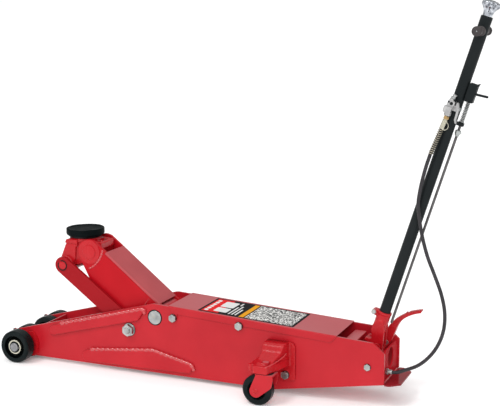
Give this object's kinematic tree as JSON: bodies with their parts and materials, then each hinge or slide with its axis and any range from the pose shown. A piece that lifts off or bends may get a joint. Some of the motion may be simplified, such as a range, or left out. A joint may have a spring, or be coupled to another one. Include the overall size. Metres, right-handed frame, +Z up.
{
  "type": "long chassis floor jack",
  "caption": "Long wheeled air and hydraulic floor jack: a parallel link arm lifts a round saddle, worked from a tall tilting handle with an air valve.",
  "frame": {"origin": "on the floor, midway along the machine and midway across the chassis", "axes": "+X rearward towards the handle, +Y to the side away from the air valve, +Z up"},
  "size_m": [1.9012, 0.504, 1.4193],
  "materials": {
    "red_paint": "gloss",
    "zinc_plate": "satin",
    "steel": "satin",
    "chrome": "polished",
    "black_coat": "satin",
    "grip_rubber": "matte",
    "pad_rubber": "matte",
    "wheel_black": "satin",
    "brass": "satin",
    "hose_rubber": "satin"
  },
  "bodies": {
    "chassis": {"side_plate_near": "red_paint", "side_plate_far": "red_paint", "upper_brace_near": "red_paint", "upper_brace_far": "red_paint", "lower_brace_near": "red_paint", "lower_brace_far": "red_paint", "top_cover": "red_paint", "front_cross_plate": "red_paint", "rear_frame": "red_paint", "front_axle": "steel", "main_pivot_shaft": "zinc_plate", "link_bolt_near": "zinc_plate", "link_bolt_far": "zinc_plate", "cover_bolt_front": "zinc_plate", "cover_bolt_rear": "zinc_plate", "caster_bracket_near": "red_paint", "caster_bracket_far": "red_paint", "caster_tie_bolt": "zinc_plate", "rear_tie_bolt": "zinc_plate", "pump_block": "red_paint", "ram_cylinder": "red_paint", "air_motor": "steel", "hose_fitting": "zinc_plate", "handle_pivot_pin": "zinc_plate", "air_hose": "hose_rubber"},
    "lift_arm": {"arm_side_near": "red_paint", "arm_side_far": "red_paint", "arm_top_plate": "red_paint", "arm_pivot_tube": "red_paint", "crank_pin": "steel", "saddle_pin": "red_paint"},
    "link": {"link_bar_near": "red_paint", "link_bar_far": "red_paint", "link_pin": "red_paint"},
    "saddle_bracket": {"saddle_bracket": "red_paint"},
    "saddle": {"saddle_plate": "black_coat", "saddle_pad": "pad_rubber"},
    "ram": {"ram_rod": "steel"},
    "front_wheel_outer_near": {"front_wheel_outer_near": "wheel_black"},
    "front_wheel_inner_near": {"front_wheel_inner_near": "wheel_black"},
    "front_wheel_inner_far": {"front_wheel_inner_far": "wheel_black"},
    "front_wheel_outer_far": {"front_wheel_outer_far": "wheel_black"},
    "caster_swivel_near": {"caster_fork_near": "red_paint"},
    "caster_swivel_far": {"caster_fork_far": "red_paint"},
    "caster_wheel_near": {"caster_wheel_near": "wheel_black"},
    "caster_wheel_far": {"caster_wheel_far": "wheel_black"},
    "handle": {"handle_socket": "red_paint", "handle_tube": "black_coat", "clamp_bolt": "zinc_plate", "grip_spool": "grip_rubber", "lock_bracket": "black_coat", "rod_spring": "steel", "rod_guide": "black_coat", "valve_body": "zinc_plate", "hose_ferrule": "brass"},
    "release_knob": {"release_knob": "chrome"},
    "lock_rod": {"lock_rod": "steel"},
    "valve_trigger": {"valve_trigger": "zinc_plate"},
    "pedal": {"pedal": "red_paint"},
    "pump_plunger": {"pump_plunger": "steel"}
  },
  "joints": [
    {"name": "arm_lift", "type": "hinge", "parent": "chassis", "child": "lift_arm", "pos_m": [-0.28764, 0, 0.235], "axis": [0, 1, 0], "range_deg": [-52, 30]},
    {"name": "link_swing", "type": "hinge", "parent": "chassis", "child": "link", "pos_m": [-0.39914, 0, 0.1755], "axis": [0, 1, 0], "range_deg": [-53, 31]},
    {"name": "bracket_level", "type": "hinge", "parent": "lift_arm", "child": "saddle_bracket", "pos_m": [-0.59264, 0, 0.4575], "axis": [0, 1, 0], "range_deg": [-31, 53]},
    {"name": "saddle_turn", "type": "hinge", "parent": "saddle_bracket", "child": "saddle", "pos_m": [-0.64964, 0, 0.5], "axis": [0, 0, 1], "continuous": true},
    {"name": "ram_stroke", "type": "slide", "parent": "chassis", "child": "ram", "axis": [-1, 0, 0], "range_m": [-0.103, 0.06]},
    {"name": "front_wheel_outer_near_roll", "type": "hinge", "parent": "chassis", "child": "front_wheel_outer_near", "pos_m": [-0.88564, -0.1535, 0.065], "axis": [0, 1, 0], "continuous": true},
    {"name": "front_wheel_inner_near_roll", "type": "hinge", "parent": "chassis", "child": "front_wheel_inner_near", "pos_m": [-0.88564, -0.068, 0.065], "axis": [0, 1, 0], "continuous": true},
    {"name": "front_wheel_inner_far_roll", "type": "hinge", "parent": "chassis", "child": "front_wheel_inner_far", "pos_m": [-0.88564, 0.068, 0.065], "axis": [0, 1, 0], "continuous": true},
    {"name": "front_wheel_outer_far_roll", "type": "hinge", "parent": "chassis", "child": "front_wheel_outer_far", "pos_m": [-0.88564, 0.1535, 0.065], "axis": [0, 1, 0], "continuous": true},
    {"name": "caster_near_swivel", "type": "hinge", "parent": "chassis", "child": "caster_swivel_near", "pos_m": [0.21636, -0.221, 0.12], "axis": [0, 0, 1], "continuous": true},
    {"name": "caster_near_roll", "type": "hinge", "parent": "caster_swivel_near", "child": "caster_wheel_near", "pos_m": [0.18836, -0.221, 0.056], "axis": [0, 1, 0], "continuous": true},
    {"name": "caster_far_swivel", "type": "hinge", "parent": "chassis", "child": "caster_swivel_far", "pos_m": [0.21636, 0.221, 0.12], "axis": [0, 0, 1], "continuous": true},
    {"name": "caster_far_roll", "type": "hinge", "parent": "caster_swivel_far", "child": "caster_wheel_far", "pos_m": [0.18836, 0.221, 0.056], "axis": [0, 1, 0], "continuous": true},
    {"name": "handle_tilt", "type": "hinge", "parent": "chassis", "child": "handle", "pos_m": [0.56436, 0, 0.2], "axis": [0, 1, 0], "range_deg": [-47, 35], "deforming": ["air_hose"]},
    {"name": "plunger_stroke", "type": "slide", "parent": "chassis", "child": "pump_plunger", "axis": [0, 0, 1], "range_m": [-0.032, 0.024]},
    {"name": "knob_turn", "type": "hinge", "parent": "handle", "child": "release_knob", "pos_m": [0.91599, 0, 1.38868], "axis": [0.2974, 0, 0.9548], "range_deg": [0, 180]},
    {"name": "lock_rod_slide", "type": "slide", "parent": "handle", "child": "lock_rod", "axis": [0.2974, 0, 0.9548], "range_m": [0, 0.015], "stiffness_N_per_m": 800, "springref_m": -0.005, "deforming": ["rod_spring"]},
    {"name": "trigger_press", "type": "hinge", "parent": "handle", "child": "valve_trigger", "pos_m": [0.82824, -0.036, 1.07666], "axis": [0, 1, 0], "range_deg": [0, 8], "stiffness_Nm_per_rad": 0.8, "springref_deg": -5.73},
    {"name": "pedal_press", "type": "hinge", "parent": "chassis", "child": "pedal", "pos_m": [0.58436, 0.0425, 0.205], "axis": [0, 1, 0], "range_deg": [0, 12], "stiffness_Nm_per_rad": 12, "springref_deg": -11.46}
  ],
  "couplings": [
    {"joint": "link_swing", "follows": "arm_lift", "ratio": 1},
    {"joint": "bracket_level", "follows": "arm_lift", "ratio": -1},
    {"joint": "ram_stroke", "follows": "arm_lift", "m_per_rad": 0.112},
    {"joint": "plunger_stroke", "follows": "handle_tilt", "m_per_rad": 0.038}
  ]
}
